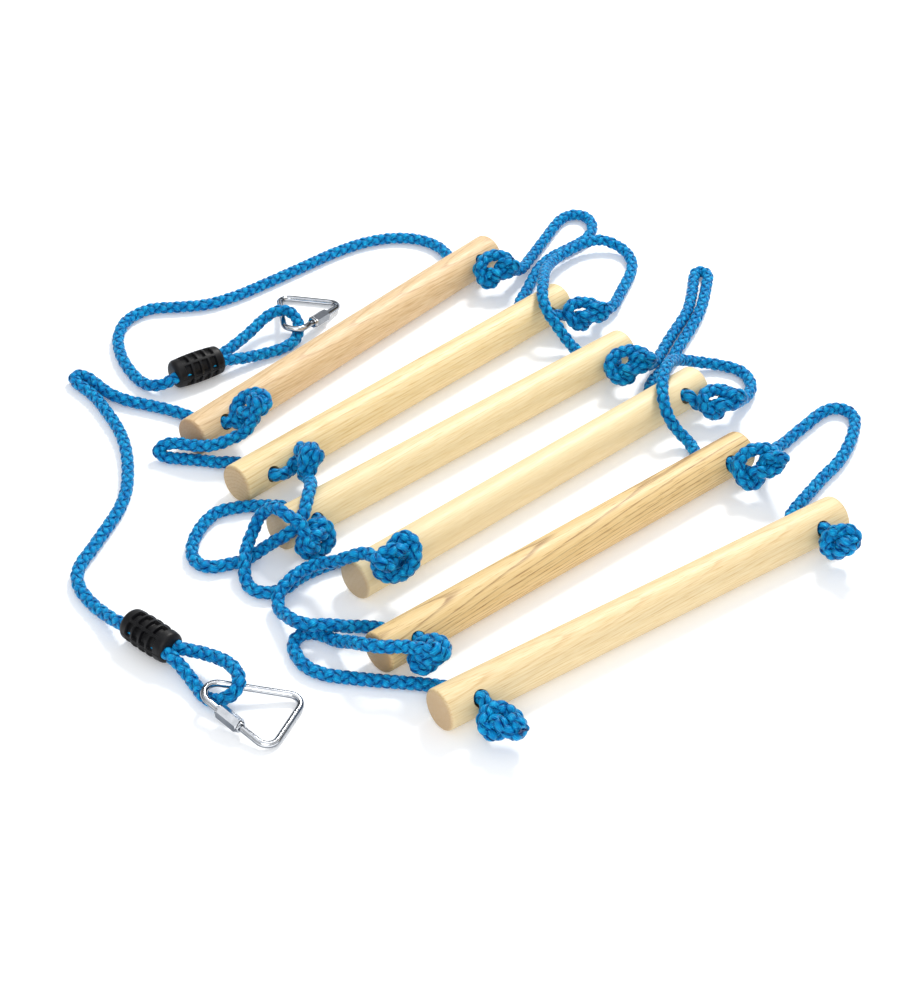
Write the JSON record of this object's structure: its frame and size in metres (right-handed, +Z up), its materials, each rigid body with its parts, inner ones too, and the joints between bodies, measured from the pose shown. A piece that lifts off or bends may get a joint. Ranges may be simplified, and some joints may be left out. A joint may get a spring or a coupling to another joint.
{
  "type": "rope ladder",
  "caption": "Rope ladder with round wooden rungs on two knotted blue ropes, lying slack, with a rope clamp, eye and screw-lock delta link at the top of each rope.",
  "frame": {"origin": "middle of the six rungs' footprint, on the ground", "axes": "+X along the rungs from the left rope to the right rope, +Y towards the top of the ladder (clamps and links), +Z up from the ground"},
  "size_m": [0.6383, 0.6109, 0.0556],
  "materials": {
    "wood": "smooth turned hardwood with a thin clear lacquer",
    "wood_dark": "smooth turned hardwood, browner with strong grain lines",
    "rope_blue": "braided polypropylene, slightly glossy",
    "clamp_plastic": "moulded black plastic with ring grooves",
    "zinc_steel": "bright zinc plate"
  },
  "bodies": {
    "rung_1": {"rung_1": "wood", "knot_left_1": "rope_blue", "knot_right_1": "rope_blue", "rope_left_1": "rope_blue", "rope_right_1": "rope_blue", "lead_left": "rope_blue", "lead_right": "rope_blue", "eye_left": "rope_blue", "eye_right": "rope_blue", "clamp_left_upper": "clamp_plastic", "clamp_left_lower": "clamp_plastic", "clamp_right_upper": "clamp_plastic", "clamp_right_lower": "clamp_plastic"},
    "rung_2": {"rung_2": "wood", "knot_left_2": "rope_blue", "knot_right_2": "rope_blue", "rope_left_2": "rope_blue", "rope_right_2": "rope_blue"},
    "rung_3": {"rung_3": "wood", "knot_left_3": "rope_blue", "knot_right_3": "rope_blue", "rope_left_3": "rope_blue", "rope_right_3": "rope_blue"},
    "rung_4": {"rung_4": "wood", "knot_left_4": "rope_blue", "knot_right_4": "rope_blue", "rope_left_4": "rope_blue", "rope_right_4": "rope_blue"},
    "rung_5": {"rung_5": "wood_dark", "knot_left_5": "rope_blue", "knot_right_5": "rope_blue", "rope_left_5": "rope_blue", "rope_right_5": "rope_blue"},
    "rung_6": {"rung_6": "wood", "knot_left_6": "rope_blue", "knot_right_6": "rope_blue"},
    "link_left": {"link_left": "zinc_steel"},
    "nut_left": {"nut_left": "zinc_steel"},
    "link_right": {"link_right": "zinc_steel"},
    "nut_right": {"nut_right": "zinc_steel"}
  },
  "joints": [
    {"name": "fold_1", "type": "hinge", "parent": "rung_1", "child": "rung_2", "pos_m": [0.0275, 0.1525, 0.005], "axis": [-0.9966, -0.0828, 0], "range_deg": [0, 25], "deforming": ["rope_left_1", "rope_right_1"]},
    {"name": "fold_2", "type": "hinge", "parent": "rung_2", "child": "rung_3", "pos_m": [0.016, 0.0755, 0.005], "axis": [-0.9999, -0.0166, 0], "range_deg": [0, 25], "deforming": ["rope_left_2", "rope_right_2"]},
    {"name": "fold_3", "type": "hinge", "parent": "rung_3", "child": "rung_4", "pos_m": [0.012, 0.0015, 0.005], "axis": [-1, 0.0061, 0], "range_deg": [0, 25], "deforming": ["rope_left_3", "rope_right_3"]},
    {"name": "fold_4", "type": "hinge", "parent": "rung_4", "child": "rung_5", "pos_m": [-0.005, -0.073, 0.005], "axis": [-0.9998, 0.0192, 0], "range_deg": [0, 25], "deforming": ["rope_left_4", "rope_right_4"]},
    {"name": "fold_5", "type": "hinge", "parent": "rung_5", "child": "rung_6", "pos_m": [-0.0285, -0.1515, 0.005], "axis": [-0.9966, 0.0819, 0], "range_deg": [0, 25], "deforming": ["rope_left_5", "rope_right_5"]},
    {"name": "lift_left", "type": "hinge", "parent": "rung_1", "child": "link_left", "pos_m": [-0.29164, -0.01089, 0.008], "axis": [-0.9959, -0.0906, 0], "range_deg": [0, 80], "deforming": ["eye_left"]},
    {"name": "lift_right", "type": "hinge", "parent": "rung_1", "child": "link_right", "pos_m": [-0.05133, 0.24289, 0.008], "axis": [-0.1582, -0.9874, 0], "range_deg": [0, 80], "deforming": ["eye_right"]},
    {"name": "gate_left", "type": "slide", "parent": "link_left", "child": "nut_left", "axis": [0.103, -0.981, -0.1645], "range_m": [0, 0.008]},
    {"name": "gate_right", "type": "slide", "parent": "link_right", "child": "nut_right", "axis": [0.9408, 0.2965, -0.1645], "range_m": [0, 0.008]}
  ]
}
